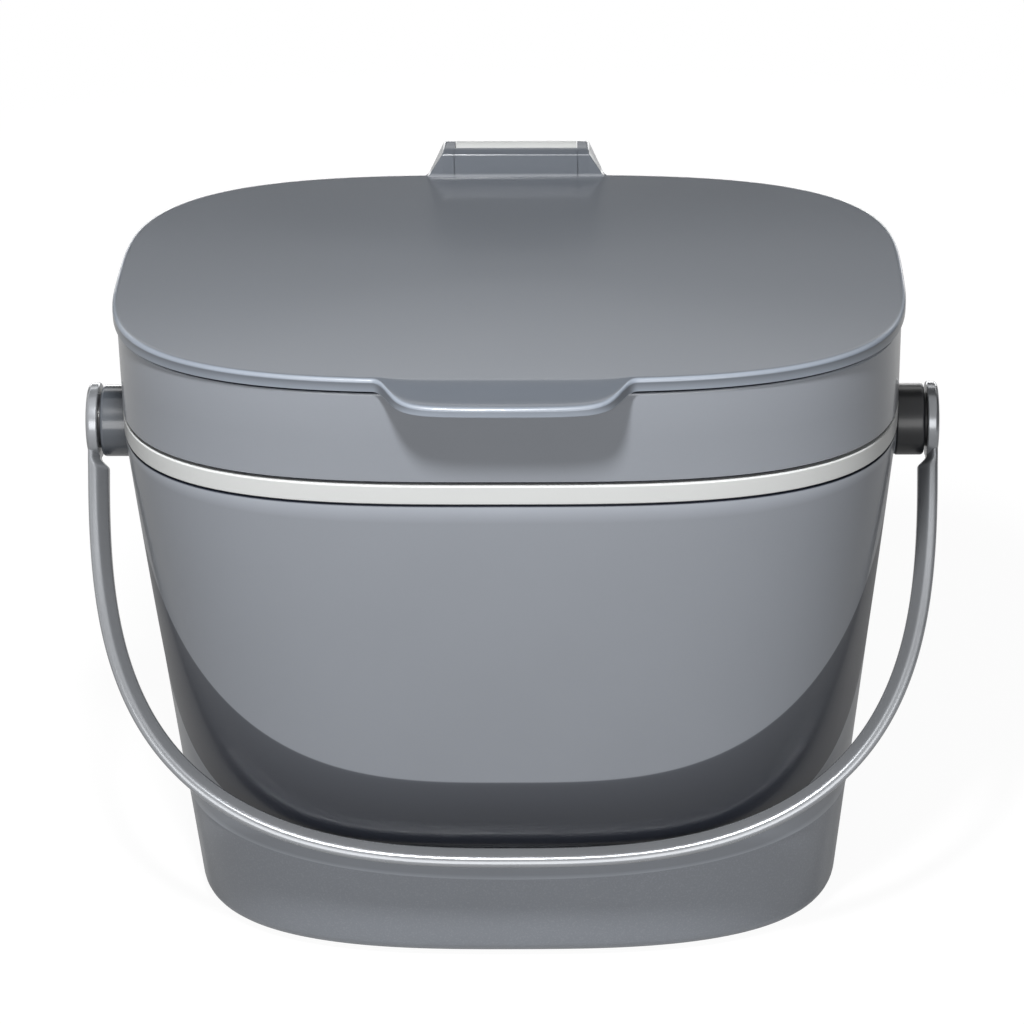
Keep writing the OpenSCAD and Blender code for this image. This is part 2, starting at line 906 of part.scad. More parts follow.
module end_cap() {
    at_pivot()
        difference() {
            rod_x(cap_r, head_x + head_t + seat_gap, eye_out_x);
            // A shallow dish marks the middle of the cap.
            translate([eye_out_x + dish_r - 0.3, 0, 0])
                sphere(r = dish_r);
        }
}

module left_cap() {
    color("dimgray")
    placed()
        mirror([1, 0, 0])
            end_cap();
}

module right_cap() {
    color("dimgray")
    placed()
        end_cap();
}

outer_shell();
inner_bucket();
left_hub();
right_hub();
pivot_screws();
pivot_nuts();
pivot_washers();
rubber_feet();
collar();
collar_seal();
hinge_bracket();
hinge_pin();
bracket_screws();
lid_cover();
lid_liner();
liner_screws();
lid_seal();
bail();
left_cap();
right_cap();
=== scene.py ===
# %% [markdown]
# # A compost caddy with a hinged lid
# This lesson dresses a small kitchen caddy: a tapered charcoal shell, a pale inner bucket, a glossy
# collar, a lid with a finger lip and a swinging bail. The mechanical model is loaded first as a fixed
# frame. Every surface made here takes its place from that frame, so nothing is fitted by hand.

import json
import math

import bmesh
import bpy
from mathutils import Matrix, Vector


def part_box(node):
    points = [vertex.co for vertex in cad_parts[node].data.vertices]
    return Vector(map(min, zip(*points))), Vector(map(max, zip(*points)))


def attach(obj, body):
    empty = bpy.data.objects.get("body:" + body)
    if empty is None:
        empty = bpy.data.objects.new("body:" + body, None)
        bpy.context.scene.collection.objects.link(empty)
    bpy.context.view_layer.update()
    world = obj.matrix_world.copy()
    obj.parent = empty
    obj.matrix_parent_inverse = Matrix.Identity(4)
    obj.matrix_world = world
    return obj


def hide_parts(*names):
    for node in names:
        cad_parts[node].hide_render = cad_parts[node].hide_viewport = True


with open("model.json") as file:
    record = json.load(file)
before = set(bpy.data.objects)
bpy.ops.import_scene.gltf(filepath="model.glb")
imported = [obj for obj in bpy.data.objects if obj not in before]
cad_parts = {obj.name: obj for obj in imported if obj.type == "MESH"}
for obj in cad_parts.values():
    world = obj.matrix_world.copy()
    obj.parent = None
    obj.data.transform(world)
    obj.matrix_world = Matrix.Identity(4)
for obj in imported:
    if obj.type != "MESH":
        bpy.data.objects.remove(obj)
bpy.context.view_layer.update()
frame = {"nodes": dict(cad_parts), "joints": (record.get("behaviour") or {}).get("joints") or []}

# %% [markdown]
# ## Sizes that the looks share with the construction
# The shell, collar and lid follow one rounded-rectangle outline, a superellipse. Its sizes are read
# off the frame's boxes where a box shows them. The few others, such as wall thicknesses and the
# crease's heights, are written here in millimetres, as the construction has them.

# %% Sizes in millimetres
MM = 0.001


def box_mm(node):
    low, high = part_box(node)
    return [v / MM for v in low], [v / MM for v in high]


shell_low, shell_high = box_mm("outer_shell")
band_box_low, band_box_high = box_mm("inner_bucket")
collar_box_low, collar_box_high = box_mm("collar")

rim_half_w = (band_box_high[0] - band_box_low[0]) / 2
rim_half_d = (band_box_high[1] - band_box_low[1]) / 2
middle_y = (band_box_high[1] + band_box_low[1]) / 2
rim_z = shell_high[2]
foot_h = shell_low[2]
base_half_w = 114.6
base_half_d = 66.7
rim_square = 3.18
base_square = 2.85
wall = 2.4
floor_t = 3.0
base_round = 6.0
panel_low = 83.0
undercut_low = 50.0
print("rim:", round(2 * rim_half_w, 1), "x", round(2 * rim_half_d, 1), "at", round(rim_z, 1))

# %% [markdown]
# ## A small mesh kit
# All shells are rows of points laid round the outline and joined row by row. The outline's points
# are spaced evenly along its length, because a superellipse's own angle crowds them in the corners.
# A narrow roll between two rows gives each edge the soft radius that a moulded part has.

# %% The outline
COLUMNS = 320


def spread(value, square):
    return math.copysign(abs(value) ** (2 / square), value)


def lerp(a, b, t):
    return a + (b - a) * t


def smooth(t):
    share = min(max(t, 0.0), 1.0)
    return share * share * (3 - 2 * share)


def even_angles(count, fine=lambda x, y: 1.0):
    """Angles that space points evenly along the rim, closer together where fine() is larger."""
    steps = 40000
    total = [0.0]
    last = None
    for i in range(steps + 1):
        a = 2 * math.pi * i / steps
        p = (rim_half_w * spread(math.cos(a), rim_square), rim_half_d * spread(math.sin(a), rim_square))
        if last is not None:
            total.append(total[-1] + math.dist(p, last) * fine(*p))
        last = p
    angles = []
    j = 0
    for i in range(count):
        want = total[-1] * i / count
        while total[j + 1] < want:
            j += 1
        part = (want - total[j]) / max(total[j + 1] - total[j], 1e-12)
        angles.append(2 * math.pi * (j + part) / steps)
    return angles


ANGLES = even_angles(COLUMNS)
print("columns round each shell:", len(ANGLES))

# %% Rings and rows


def up_share(z):
    return min(max(z / rim_z, 0.0), 1.0)


def half_w(z):
    return lerp(base_half_w, rim_half_w, up_share(z))


def half_d(z):
    return lerp(base_half_d, rim_half_d, up_share(z))


def squareness(z):
    return lerp(base_square, rim_square, up_share(z))


def outline(hw, hd, square, z, angles=None):
    """One ring of points in millimetres round the object's middle."""
    return [
        (hw * spread(math.cos(a), square), hd * spread(math.sin(a), square), z)
        for a in (angles or ANGLES)
    ]


def inset_ring(inset, z, angles=None):
    return outline(half_w(z) - inset, half_d(z) - inset, squareness(z), z, angles)


def rim_ring(inset, z, angles=None):
    return outline(rim_half_w - inset, rim_half_d - inset, rim_square, z, angles)


def placed(point):
    return Vector((point[0], point[1] + middle_y, point[2])) * MM


# %% Rows into a mesh


def skin(mesh, rows, loop=False):
    """Joins rows of equal length into a closed skin inside a bmesh."""
    verts = [[mesh.verts.new(placed(p)) for p in row] for row in rows]
    count = len(rows[0])
    for j in range(len(rows) if loop else len(rows) - 1):
        low, high = verts[j], verts[(j + 1) % len(rows)]
        for i in range(count):
            k = (i + 1) % count
            mesh.faces.new((low[i], low[k], high[k], high[i]))
    if not loop:
        mesh.faces.new(verts[0][::-1])
        mesh.faces.new(verts[-1])
    return verts


def lathe(mesh, profile, axis, centre, steps=48):
    """Turns a profile of (radius, distance) round an axis; its last ring joins its first."""
    rings = []
    for radius, along in profile:
        ring = []
        for i in range(steps):
            a = 2 * math.pi * i / steps
            u, v = radius * math.cos(a), radius * math.sin(a)
            p = {"x": (along, u, v), "y": (v, along, u), "z": (u, v, along)}[axis]
            ring.append(mesh.verts.new(Vector([c + q for c, q in zip(centre, p)]) * MM))
        rings.append(ring)
    for low, high in zip(rings, rings[1:] + rings[:1]):
        for i in range(steps):
            k = (i + 1) % steps
            mesh.faces.new((low[i], low[k], high[k], high[i]))


# Lighter edges stand for rubbed wear and for painted highlight along the bends.
WEAR_AND_HIGHLIGHT_START = 0.10
WEAR_AND_HIGHLIGHT_SPAN = 0.25


def mark_edges(mesh, worn_and_highlit):
    """Stores on each point how sharply the surface bends outwards there, for lighter edges of rubbed wear and
    painted highlight.
    """
    mesh.normal_update()
    edge_mask = mesh.verts.layers.float.new("edge")
    for vert in mesh.verts:
        bends = [e.calc_face_angle_signed(0.0) for e in vert.link_edges if len(e.link_faces) == 2]
        bend = max(bends, default=0.0)
        vert[edge_mask] = smooth((bend - WEAR_AND_HIGHLIGHT_START) / WEAR_AND_HIGHLIGHT_SPAN) if worn_and_highlit(vert.co) else 0.0


def finished(mesh, name, body, nodes=(), material=None, worn_and_highlit=lambda spot: True):
    mark_edges(mesh, worn_and_highlit)
    data = bpy.data.meshes.new(name)
    mesh.to_mesh(data)
    mesh.free()
    piece = bpy.data.objects.new(name, data)
    bpy.context.scene.collection.objects.link(piece)
    for face in data.polygons:
        face.use_smooth = True
    data.set_sharp_from_angle(angle=math.radians(35))
    weighted = piece.modifiers.new("Weighted normals", "WEIGHTED_NORMAL")
    weighted.keep_sharp = True
    weighted.weight = 90
    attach(piece, body)
    if nodes:
        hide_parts(*nodes)
    if material:
        data.materials.append(material)
    print(name, "rides on", body, "with", len(data.polygons), "faces")


def rounded(points, radius, steps=4):
    """A closed or open profile of (inset, z) points with each listed corner rolled to a radius."""
    out = []
    for i, p in enumerate(points):
        r = radius[i] if isinstance(radius, (list, tuple)) else radius
        if r <= 0 or i == 0 or i == len(points) - 1:
            out.append(p)
            continue
        before, after = points[i - 1], points[i + 1]
        da = math.dist(p, before)
        db = math.dist(p, after)
        ra = min(r, da * 0.48)
        rb = min(r, db * 0.48)
        a = tuple(p[k] + (before[k] - p[k]) * ra / da for k in range(len(p)))
        b = tuple(p[k] + (after[k] - p[k]) * rb / db for k in range(len(p)))
        for s in range(steps + 1):
            t = s / steps
            out.append(
                tuple(a[k] * (1 - t) ** 2 + 2 * p[k] * t * (1 - t) + b[k] * t * t for k in range(len(p)))
            )
    return out


# %% [markdown]
# ## Shader maths as plain expressions
# A material is a small program. Wrapping a socket in a class that knows the arithmetic operators
# lets a formula be read as a formula, while it still adds ordinary Math nodes to the tree. The same
# class serves Geometry Nodes, because both kinds of tree share the Math node.

# %% A socket that knows arithmetic


class Num:
    """A socket of numbers in a node tree, with the operators that this file uses."""

    def __init__(self, tree, socket):
        self.tree = tree
        self.socket = socket

    def math(self, operation, *others):
        node = self.tree.nodes.new("ShaderNodeMath")
        node.operation = operation
        for place, value in enumerate((self, *others)):
            if isinstance(value, Num):
                self.tree.links.new(value.socket, node.inputs[place])
            else:
                node.inputs[place].default_value = value
        return Num(self.tree, node.outputs[0])

    def flipped(self, operation, other):
        node = self.tree.nodes.new("ShaderNodeMath")
        node.operation = operation
        node.inputs[0].default_value = other
        self.tree.links.new(self.socket, node.inputs[1])
        return Num(self.tree, node.outputs[0])

    def __add__(self, other):
        return self.math("ADD", other)

    def __sub__(self, other):
        return self.math("SUBTRACT", other)

    def __mul__(self, other):
        return self.math("MULTIPLY", other)

    def __truediv__(self, other):
        return self.math("DIVIDE", other)

    def __pow__(self, other):
        return self.math("POWER", other)

    def __radd__(self, other):
        return self.flipped("ADD", other)

    def __rsub__(self, other):
        return self.flipped("SUBTRACT", other)

    def __rmul__(self, other):
        return self.flipped("MULTIPLY", other)

    def __rtruediv__(self, other):
        return self.flipped("DIVIDE", other)

    def __neg__(self):
        return self * -1.0

    def clamped(self):
        return self.math("MAXIMUM", 0.0).math("MINIMUM", 1.0)


def add_node(tree, kind, settings=None, inputs=None):
    """Adds a node: its settings first, then the values or links of its sockets."""
    node = tree.nodes.new(kind)
    for key, value in (settings or {}).items():
        if key == "stops":
            ramp = node.color_ramp
            while len(ramp.elements) < len(value):
                ramp.elements.new(0.5)
            for element, (place, colour) in zip(ramp.elements, value):
                element.position = place
                element.color = colour
        else:
            setattr(node, key, value)
    for key, value in (inputs or {}).items():
        if isinstance(value, Num):
            tree.links.new(value.socket, node.inputs[key])
        elif isinstance(value, bpy.types.NodeSocket):
            tree.links.new(value, node.inputs[key])
        else:
            node.inputs[key].default_value = value
    return node


print("operators ready")

# %% [markdown]
# ## Finishes
# Injection-moulded plastic is never one flat colour. It has a faint flow mottle and a grain too fine to see
# that softens reflections. Three values stored on the points add the rest: painted shade on the undercut and
# the gaps, a coarser grain for the foot, and lighter edges that are partly rubbed wear and partly painted
# highlight. Each finish here reads Object coordinates, so it holds still on its piece.

# %% Moulded plastic
# Near-black tone of the painted shade on the undercut, the rim's step and the gaps.
PAINTED_SHADE_TONE = (0.010, 0.013, 0.023)
FLOW_SCALE = 22.0
SPECK_SCALE = 1500.0
BUMP_DISTANCE = 0.00005


def stored(tree, name):
    """The value that a mesh carries on its points under this name."""
    return Num(tree, add_node(tree, "ShaderNodeAttribute", {"attribute_name": name}).outputs["Fac"])


def noise(tree, place, scale, detail, roughness):
    inputs = {"Vector": place, "Scale": scale, "Detail": detail, "Roughness": roughness}
    return Num(tree, add_node(tree, "ShaderNodeTexNoise", inputs=inputs).outputs[0])


def tinted(tree, share, under, colour):
    """The colour under, moved by a share towards another colour."""
    inputs = {"Factor": share, 6: under, 7: (*colour, 1.0)}
    return add_node(tree, "ShaderNodeMix", {"data_type": "RGBA"}, inputs).outputs[2]


def plastic(name, colour, rough, coat, grain, grain_size, mottle=0.05, metal=0.0, coat_rough=0.06, wear_and_highlight=1.45):
    """Procedural moulded plastic: colour mottle, uneven gloss, fine grain, painted shade in stored zones, and
    lighter edges of rubbed wear and painted highlight.
    """
    material = bpy.data.materials.new(name)
    material.use_nodes = True
    tree = material.node_tree
    shader = tree.nodes["Principled BSDF"]
    place = add_node(tree, "ShaderNodeTexCoord").outputs["Object"]
    flow = noise(tree, place, FLOW_SCALE, 3.0, 0.5)
    fine = noise(tree, place, 1000.0 / grain_size, 2.0, 0.55)
    light = [min(c * (1 + mottle), 1.0) for c in colour]
    dark = [c * (1 - mottle) for c in colour]
    mottled = tinted(tree, (flow * 0.7 + fine * 0.3).clamped(), (*dark, 1.0), light)
    # Painted shade: the stored zone darkens the colour, roughens it a little and weakens the coat.
    shaded = stored(tree, "shaded")
    grained = stored(tree, "grained")
    # Lighter edges: partly rubbed wear, partly painted highlight.
    rubbed_and_highlit = (stored(tree, "edge") * (0.55 + flow * 0.9)).clamped()
    bright = tinted(tree, rubbed_and_highlit, mottled, [min(c * wear_and_highlight, 1.0) for c in colour])
    deep = tinted(tree, shaded, bright, PAINTED_SHADE_TONE)
    speck = (noise(tree, place, SPECK_SCALE, 2.0, 0.7) - 0.5) * grained
    base = tinted(tree, (speck * 1.5).clamped(), deep, [c * 1.6 for c in colour])
    uneven = (flow - 0.5) * 0.10 + (fine - 0.5) * 0.06 + rough
    uneven = uneven + grained * 0.12 + rubbed_and_highlit * 0.04 + shaded * 0.05
    height = fine + speck * 3.0
    bump = add_node(
        tree, "ShaderNodeBump", inputs={"Height": height, "Strength": grain, "Distance": BUMP_DISTANCE}
    )
    tree.links.new(base, shader.inputs["Base Color"])
    tree.links.new(uneven.socket, shader.inputs["Roughness"])
    tree.links.new(bump.outputs[0], shader.inputs["Normal"])
    tree.links.new(((1.0 - shaded * 0.75) * coat).socket, shader.inputs["Coat Weight"])
    shader.inputs["Metallic"].default_value = metal
    shader.inputs["Coat Roughness"].default_value = coat_rough
    return material


CHARCOAL = (0.222, 0.238, 0.266)
# The lid takes a darker copy of the charcoal: painted shade on its top, which the high lamp lights more than
# the upright sides.
LID_CHARCOAL_PAINTED_SHADE = (0.103, 0.116, 0.136)
charcoal_gloss = plastic("charcoal_gloss", CHARCOAL, 0.32, 0.55, 0.08, 0.9)
charcoal_satin = plastic("charcoal_satin", CHARCOAL, 0.34, 0.45, 0.12, 0.7)
charcoal_lid_painted_shade = plastic("charcoal_lid_painted_shade", LID_CHARCOAL_PAINTED_SHADE, 0.34, 0.45, 0.10, 0.7, coat_rough=0.12, wear_and_highlight=2.4)
pale_satin = plastic("pale_satin", (0.55, 0.56, 0.555), 0.36, 0.1, 0.15, 0.6, mottle=0.015, wear_and_highlight=1.2)
hub_charcoal = plastic("hub_charcoal", (0.060, 0.068, 0.080), 0.26, 0.6, 0.05, 0.6)
# The right hub takes a near-black copy of the hub plastic: painted shade.
hub_painted_shade = plastic("hub_painted_shade", (0.010, 0.011, 0.013), 0.34, 0.1, 0.05, 0.6)
bail_grey = plastic("bail_grey", (0.25, 0.26, 0.275), 0.22, 0.5, 0.02, 0.5, metal=0.45, wear_and_highlight=1.3)
soft_rubber = plastic("soft_rubber", (0.018, 0.018, 0.020), 0.75, 0.0, 0.5, 0.5)
dark_nylon = plastic("dark_nylon", (0.012, 0.012, 0.014), 0.45, 0.0, 0.2, 0.5)
bright_steel = plastic("bright_steel", (0.55, 0.56, 0.57), 0.28, 0.0, 0.3, 0.4, metal=1.0)
print("finishes:", len(bpy.data.materials))

# %% [markdown]
# ## The outer shell
# The real shell is one deep moulding. Its sides and back taper towards the foot, while the front
# panel stands upright and ends in a U-shaped crease with an undercut below it. So the rows of the
# mesh follow the crease and the undercut's lower edge instead of running level, and each column
# rolls over the crease with a small radius.

# %% Crease and undercut
crease_along = 3.2
crease_down = 2.4
edge_square = 5.5
side_limit = 0.997
crease_round = 1.1
edge_round = 0.9


def side_share(a, z):
    return min(abs(math.cos(a)) ** (2 / squareness(z)), side_limit)


def line_z(a, low, along, down):
    """Height of a U-shaped line at one angle, lowest in the middle of the front."""
    return rim_z - (rim_z - low) * (1 - side_share(a, low) ** along) ** (1 / down)


def crease_z(a):
    return line_z(a, panel_low, crease_along, crease_down)


def edge_z(a):
    return line_z(a, undercut_low, edge_square, edge_square)


undercut_roll = 0.5
field_low = 35.0
field_rise = 9.0
field_half = 104.0
field_level = 40
field_step = 0.3
FIELD_ROWS = 9
STRIP_ROWS = 9
CUT_ROWS = 12
PANEL_ROWS = 18
# How many rows of the undercut carry painted shade, and how much it fades towards the crease.
PAINTED_SHADE_ROWS = CUT_ROWS + 4
PAINTED_SHADE_FADE = 0.28


def shell_point(a, bulge, z, inset=0.0):
    depth = lerp(half_d(z), rim_half_d, bulge) if math.sin(a) < 0 else half_d(z)
    square = squareness(z)
    x = (half_w(z) - inset) * spread(math.cos(a), square)
    y = (depth - inset) * spread(math.sin(a), square)
    return (x, y, z)


def field_z(a):
    """Upper border of the grained field on the foot."""
    across = half_w(field_level) * side_share(a, field_level)
    return field_low + field_rise * (across / field_half) ** 2


def shell_column(a):
    """The shell's outer profile at one angle, from the bottom edge to the rim, with its zones."""
    low, field, edge, crease = foot_h + base_round, field_z(a), edge_z(a), crease_z(a)
    field_steps, strip_steps = FIELD_ROWS - 1, STRIP_ROWS - 1
    points = [shell_point(a, 0, lerp(low, field, i / field_steps), field_step) for i in range(FIELD_ROWS)]
    points += [shell_point(a, 0, lerp(field + 0.25, edge, i / strip_steps)) for i in range(STRIP_ROWS)]
    edge_row = len(points) - 1
    for i in range(1, CUT_ROWS + 1):
        t = i / CUT_ROWS
        points.append(shell_point(a, t * (1 + undercut_roll * (1 - t)), lerp(edge, crease, t)))
    crease_row = len(points) - 1
    for i in range(1, PANEL_ROWS + 1):
        points.append(shell_point(a, 1, lerp(crease, rim_z - 0.8, i / PANEL_ROWS)))
    radius = [0.0] * len(points)
    radius[edge_row] = edge_round
    radius[crease_row] = crease_round
    points = rounded(points, radius)
    # The undercut's rows carry painted shade, full at its lower edge and fading towards the crease.
    fade = [(1 - PAINTED_SHADE_FADE * (i / (PAINTED_SHADE_ROWS - 1)) ** 1.5, 0) for i in range(PAINTED_SHADE_ROWS)]
    zones = [(0, 1)] * FIELD_ROWS + [(0, 0)] * (STRIP_ROWS + 2) + fade + [(0, 0)] * (PANEL_ROWS + 2)
    return points, zones


columns = [shell_column(a) for a in ANGLES]
outside = [[column[0][j] for column in columns] for j in range(len(columns[0][0]))]
outside_zones = columns[0][1]
print("rows over the shell's outside:", len(outside), len(outside_zones))

# %% Shell mesh


def round_rows(inset, radius, z, steps):
    rows = []
    for i in range(steps + 1):
        a = math.pi / 2 * i / steps
        rows.append(inset_ring(inset + radius * (1 - math.sin(a)), z + radius * (1 - math.cos(a))))
    return rows


def floor_rows(inset, radius, z):
    """Rows that shrink towards the middle, so a flat floor is not one huge polygon."""
    hw, hd = half_w(z) - inset - radius, half_d(z) - inset - radius
    return [outline(hw * s, hd * s, squareness(z), z) for s in (0.25, 0.5, 0.75)]


RIM_STEP_ROWS = 4
RIM_STEP_ABOVE = 0.1


mesh = bmesh.new()
below = floor_rows(field_step, base_round, foot_h)
below += round_rows(field_step, base_round, foot_h, 8)[:-1]
above = [inset_ring(0.12, rim_z - 0.46), inset_ring(0.4, rim_z - 0.36), inset_ring(1.1, rim_z - 0.34)]
above += [inset_ring(1.15, rim_z), inset_ring(wall - 0.3, rim_z)]
above += [inset_ring(wall, rim_z - 0.6), inset_ring(wall, foot_h + floor_t + base_round)]
above += round_rows(wall, base_round, foot_h + floor_t, 5)[::-1][1:]
above += floor_rows(wall, base_round, foot_h + floor_t)[::-1]
shaded = mesh.verts.layers.float.new("shaded")
grained = mesh.verts.layers.float.new("grained")
shell_rows = skin(mesh, below + outside + above)
shell_zones = [(0, 1)] * len(below) + outside_zones + [(1, 0)] * RIM_STEP_ROWS
shell_zones += [(0, 0)] * (len(above) - RIM_STEP_ROWS)
# Painted shade goes on the front's undercut and, all round, on the rows of the rim's step.
for row, (shade, grain) in zip(shell_rows, shell_zones):
    all_round = shade == 1 and row[0].co.z > RIM_STEP_ABOVE
    for vert, a in zip(row, ANGLES):
        vert[shaded] = shade if math.sin(a) < 0 or all_round else 0.0
        vert[grained] = grain
pivot = Vector(next(j for j in frame["joints"] if j["name"] == "bail_swing")["pos_m"]) / MM
hub_r = 12.4
hub_start = rim_half_w + 0.3
pad_depth = 8.0
for side in (-1, 1):
    pad = [(hub_r, hub_start - pad_depth), (hub_r, hub_start - 0.4), (hub_r - 0.4, hub_start)]
    lathe(mesh, [(r, side * x) for r, x in pad], "x", (0, pivot.y, pivot.z), 96)
bmesh.ops.recalc_face_normals(mesh, faces=mesh.faces)
finished(mesh, "shell_body", "bin", ["outer_shell"], charcoal_satin)

# %% [markdown]
# ## The inner bucket
# A pale liner bucket hangs in the shell by its flange. From outside only the flange shows, as the
# band between shell and collar, so its two borders get the thin rounded edges that catch light.
# The inside shows when the lid is open: a smooth wall and a well-rounded floor.

# %% Bucket mesh
bucket_gap = 4.6
bucket_wall = 2.2
flange_h = 4.4
bucket_out = wall + bucket_gap
bucket_in = bucket_out + bucket_wall
bucket_round = 16.0
bucket_floor = band_box_low[2]
band_low = rim_z + 0.3
band_top = band_box_high[2]

mesh = bmesh.new()
rows = floor_rows(bucket_out, bucket_round, bucket_floor)
rows += round_rows(bucket_out, bucket_round, bucket_floor, 8)
spigot_low = collar_box_low[2]
rows += [inset_ring(bucket_out, z) for z in (100.0, spigot_low - 2.0, band_top - flange_h)]
flange_in = bucket_out * 0.4
flange = [
    (flange_in, band_top - flange_h),
    (flange_in, band_low),
    (0.0, band_low),
    (0.0, band_top),
    (bucket_in, band_top),
    (bucket_in, spigot_low - 1.0),
]
flange = rounded(flange, [0, 0.2, 0.6, 0.6, 0.5, 0])
rows += [rim_ring(inset, z) for inset, z in flange]
inner_round = bucket_round - bucket_wall
inner_floor = bucket_floor + bucket_wall
rows += [inset_ring(bucket_in, z) for z in (spigot_low - 4.0, 120.0, 60.0)]
rows += round_rows(bucket_in, inner_round, inner_floor, 10)[::-1]
rows += floor_rows(bucket_in, inner_round, inner_floor)[::-1]
skin(mesh, rows)
finished(mesh, "inner_bucket_skin", "bucket", ["inner_bucket"], pale_satin)

# %% [markdown]
# ## The collar and its seal
# The collar is a short glossy ring with an inner wall that drops into the bucket. Its profile is
# drawn once, as distances in from the rim's outline, and carried round the outline.

# %% Collar mesh
collar_h = 32.8
collar_wall = 2.4
collar_top = collar_box_high[2]
collar_low = collar_top - collar_h
spigot_out = bucket_in + 0.4
spigot_in = spigot_out + collar_wall
shadow_gap = 1.1
collar_profile = rounded(
    [
        (1.6, collar_low),
        (1.5, collar_low + shadow_gap),
        (0.0, collar_low + shadow_gap),
        (0.0, collar_low + 16.0),
        (0.0, collar_top),
        (spigot_in, collar_top),
        (spigot_in, spigot_low),
        (spigot_out, spigot_low),
        (spigot_out, collar_top - collar_wall),
        (collar_wall, collar_top - collar_wall),
        (collar_wall, collar_low),
        (1.6, collar_low),
    ],
    [0, 0.2, 0.45, 0, 1.0, 0.8, 0.6, 0.6, 0.4, 0.4, 0.3, 0],
)
mesh = bmesh.new()
shaded = mesh.verts.layers.float.new("shaded")
collar_rows = skin(mesh, [rim_ring(inset, z) for inset, z in collar_profile[:-1]], loop=True)
# The rows inside the gaps under the collar and under the lid's edge carry painted shade.
for row, (inset, z) in zip(collar_rows, collar_profile):
    in_a_gap = inset > 0.5 and (z < collar_low + 1.5 or z > collar_top - 0.5)
    for vert in row:
        vert[shaded] = 1.0 if in_a_gap else 0.0
collar_back = collar_box_high[1]
screws_low, screws_high = box_mm("bracket_screws")
screw_z = (screws_low[2] + screws_high[2]) / 2
screw_head_r = 2.9
bracket_pad_r = 3.6
pad_x = (screws_high[0] - screws_low[0]) / 2 - screw_head_r
bracket_pad = [
    (bracket_pad_r, collar_back - 4.0),
    (bracket_pad_r, collar_back - 0.3),
    (bracket_pad_r - 0.3, collar_back),
]
for side in (-1, 1):
    lathe(mesh, bracket_pad, "y", (side * pad_x, 0, screw_z))
finished(mesh, "collar_ring", "lid_frame", ["collar"], charcoal_gloss)

# %% [markdown]
# ## The lid
# The lid is a thin cover that overhangs the collar slightly. At the front its edge swings out in an
# S on each side to make the finger lip, and past a straight fold line the top dips towards the lip's
# edge. One skin holds it all: the columns crowd together at the S, and the rows between fold line
# and edge stretch forwards there.

# %% Lid sizes
lid_gap = 0.9
lid_edge = 4.6
lid_over = 1.2
lid_low = collar_top + lid_gap
lid_top = lid_low + lid_edge
lid_t = 2.2
lid_crown = 2.0
lip_out = 14.5
lip_drop = 3.0
lip_outer = 43.0
lip_bend = 7.0
lip_power = 2.9
lip_fold = 1.8


def lip_share(x, y):
    """0 beside the lip, 1 along its front, with a quick S and a long soft shoulder between."""
    u = lip_outer - abs(x)
    if y >= 0 or u <= 0:
        return 0.0
    return 1 / (1 + (lip_bend / u) ** lip_power)


LID_COLUMNS = 440
crowd_x = 36.0
crowd_w = 6.5
crowding = 7.0


def lid_fine(x, y):
    """Crowds the columns round the S on each side of the lip."""
    near = math.exp(-(((abs(x) - crowd_x) / crowd_w) ** 2)) if y < 0 else 0.0
    return 1.0 + crowding * near


LID_ANGLES = even_angles(LID_COLUMNS, lid_fine)


def lid_row(inset, z, reach=0.0, drop=0.0):
    """A row round the lid, pulled forwards by the lip's reach and down by its drop."""
    row = []
    for x, y, level in rim_ring(inset - lid_over, z, LID_ANGLES):
        s = lip_share(x, y)
        row.append((x, y - reach * s, level - drop * s))
    return row


def crown_row(share, z):
    hw = (rim_half_w + lid_over) * share
    hd = (rim_half_d + lid_over) * share
    return outline(hw, hd, rim_square, z, LID_ANGLES)


print("columns round the lid:", len(LID_ANGLES))

# %% Lid mesh
mesh = bmesh.new()
top_rows = []
for share in (0.06, 0.2, 0.35, 0.5, 0.65, 0.8, 0.9):
    top_rows.append(crown_row(share, lid_top + lid_crown * (1 - share * share)))
fold_z = lid_top + lid_crown * (1 - ((rim_half_d + lid_over - lip_fold) / (rim_half_d + lid_over)) ** 2)
slope_rows = []
for i in range(13):
    t = i / 12
    inset = lerp(lip_fold, 1.3, t)
    dip = 0.12 * t + 0.88 * t * t * (3 - 2 * t)
    slope_rows.append(lid_row(inset, lerp(fold_z, lid_top + 0.02, t), (lip_out - 0.2) * t, lip_drop * dip))
edge_rows = [
    lid_row(0.75, lid_top - 0.12, lip_out, lip_drop + 0.05),
    lid_row(0.3, lid_top - 0.42, lip_out, lip_drop + 0.1),
    lid_row(0.05, lid_top - 0.9, lip_out, lip_drop + 0.1),
    lid_row(0.0, lid_top - 1.4, lip_out, lip_drop - 0.2),
    lid_row(0.0, lid_low + 0.7, lip_out, lip_drop - 1.0),
    lid_row(0.12, lid_low + 0.25, lip_out, lip_drop - 1.2),
    lid_row(0.5, lid_low, lip_out, lip_drop - 1.3),
]
under = lid_top - lid_t
under_rows = [
    lid_row(1.2, lid_low, lip_out * 0.7, lip_drop * 0.6 - 1.0),
    lid_row(2.0, lid_low, lip_out * 0.3, lip_drop * 0.2 - 0.3),
    lid_row(2.6, lid_low),
    lid_row(2.8, lid_low + 0.3),
    lid_row(2.8, under),
    crown_row(0.8, under + lid_crown * 0.36),
    crown_row(0.4, under + lid_crown * 0.84),
    crown_row(0.06, under + lid_crown),
]
skin(mesh, (top_rows + slope_rows + edge_rows + under_rows)[::-1])

# %% [markdown]
# ## The hinge housing
# At the back the lid rises into a low housing whose two ears hold the pin. Its flanks lean inwards.
# Each ear is a stack of side views along X. The outermost are cut lower and drawn in towards the
# lid's rim, which makes the leaning flank, and between the ears only the front wall remains.

